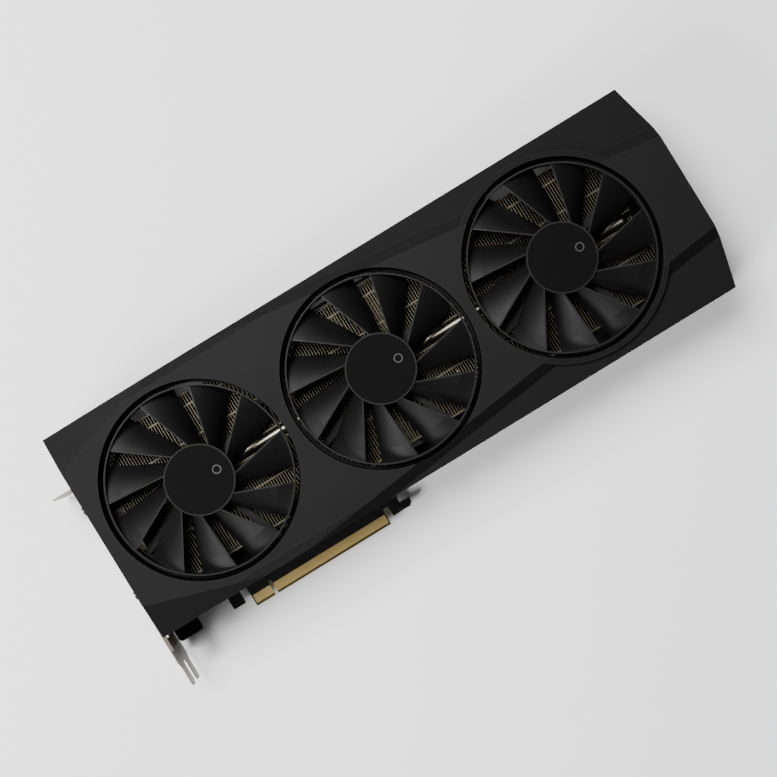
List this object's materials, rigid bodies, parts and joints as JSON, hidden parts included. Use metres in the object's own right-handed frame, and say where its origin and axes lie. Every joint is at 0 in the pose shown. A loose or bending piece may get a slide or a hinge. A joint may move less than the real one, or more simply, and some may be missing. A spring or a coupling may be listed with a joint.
{
  "type": "graphics card",
  "caption": "Long thick graphics card: faceted black shroud with round fan openings, finned cooler, backplate, board with edge connector, and a two-slot bracket.",
  "frame": {"origin": "middle of the key notch, on the seating edge of the card-edge connector, at half the board's thickness", "axes": "+X along the card to its far end, +Y away from the slot, +Z out of the component side, towards the fans"},
  "size_m": [0.3689, 0.1506, 0.057],
  "materials": {
    "casing_plastic": "fine satin moulding",
    "panel_metal": "matt anodised",
    "backplate_metal": "matt powder coat",
    "board_laminate": "black solder mask",
    "contact_gold": "gilded",
    "bracket_steel": "plain plated steel",
    "screw_steel": "plain",
    "black_screw_steel": "blackened",
    "spring_steel": "plain",
    "socket_plastic": "moulded",
    "plug_plastic": "moulded nylon",
    "lead_rubber": "sleeved lead",
    "package_laminate": "laminate",
    "die_silicon": "polished silicon",
    "paste": "grey paste",
    "chip_plastic": "moulded epoxy",
    "choke_ferrite": "pressed powder",
    "can_aluminium": "drawn can",
    "pad_rubber": "soft gap pad",
    "cast_aluminium": "black anodised casting",
    "copper": "bare copper",
    "plated_pipe": "nickel plated",
    "fin_aluminium": "mill finish sheet",
    "frame_plastic": "moulded",
    "rotor_plastic": "satin moulding",
    "cap_plastic": "fine satin",
    "bearing_bronze": "sintered bronze",
    "winding_copper": "enamelled wire and laminations",
    "fan_laminate": "circuit laminate",
    "magnet_ferrite": "bonded ferrite",
    "shaft_steel": "ground steel"
  },
  "bodies": {
    "card": {"backplate": "backplate_metal", "bearing_1": "bearing_bronze", "bearing_2": "bearing_bronze", "bearing_3": "bearing_bronze", "bracket_screws": "screw_steel", "capacitors": "can_aluminium", "circuit_board": "board_laminate", "cold_plate": "copper", "cooler_frame": "cast_aluminium", "display_sockets": "bracket_steel", "edge_contacts": "contact_gold", "face_plate": "panel_metal", "fan_board_1": "fan_laminate", "fan_board_2": "fan_laminate", "fan_board_3": "fan_laminate", "fan_frame_1": "frame_plastic", "fan_frame_2": "frame_plastic", "fan_frame_3": "frame_plastic", "fan_header": "plug_plastic", "fan_leads": "lead_rubber", "fan_plug": "plug_plastic", "fan_screws": "black_screw_steel", "fin_stack": "fin_aluminium", "fin_tabs": "fin_aluminium", "gpu_die": "die_silicon", "gpu_package": "package_laminate", "heat_pipes": "copper", "io_bracket": "bracket_steel", "memory_chips": "chip_plastic", "post_screws": "black_screw_steel", "power_inductors": "choke_ferrite", "power_pins": "contact_gold", "power_sockets": "socket_plastic", "power_stages": "chip_plastic", "retention_bracket": "spring_steel", "retention_screws": "screw_steel", "shroud": "casing_plastic", "socket_inserts": "socket_plastic", "stator_1": "winding_copper", "stator_2": "winding_copper", "stator_3": "winding_copper", "thermal_pads": "pad_rubber", "thermal_paste": "paste", "top_heat_pipe": "plated_pipe", "wide_video_socket": "bracket_steel"},
    "fan_1": {"rotor_1": "rotor_plastic", "hub_cap_1": "cap_plastic", "magnet_ring_1": "magnet_ferrite", "shaft_1": "shaft_steel"},
    "fan_2": {"rotor_2": "rotor_plastic", "hub_cap_2": "cap_plastic", "magnet_ring_2": "magnet_ferrite", "shaft_2": "shaft_steel"},
    "fan_3": {"rotor_3": "rotor_plastic", "hub_cap_3": "cap_plastic", "magnet_ring_3": "magnet_ferrite", "shaft_3": "shaft_steel"}
  },
  "joints": [
    {"name": "fan_spin_1", "type": "hinge", "parent": "card", "child": "fan_1", "pos_m": [0.0018, 0.0743, 0.042], "axis": [0, 0, 1], "continuous": true},
    {"name": "fan_spin_2", "type": "hinge", "parent": "card", "child": "fan_2", "pos_m": [0.1118, 0.0743, 0.042], "axis": [0, 0, 1], "continuous": true},
    {"name": "fan_spin_3", "type": "hinge", "parent": "card", "child": "fan_3", "pos_m": [0.2218, 0.0743, 0.042], "axis": [0, 0, 1], "continuous": true}
  ]
}
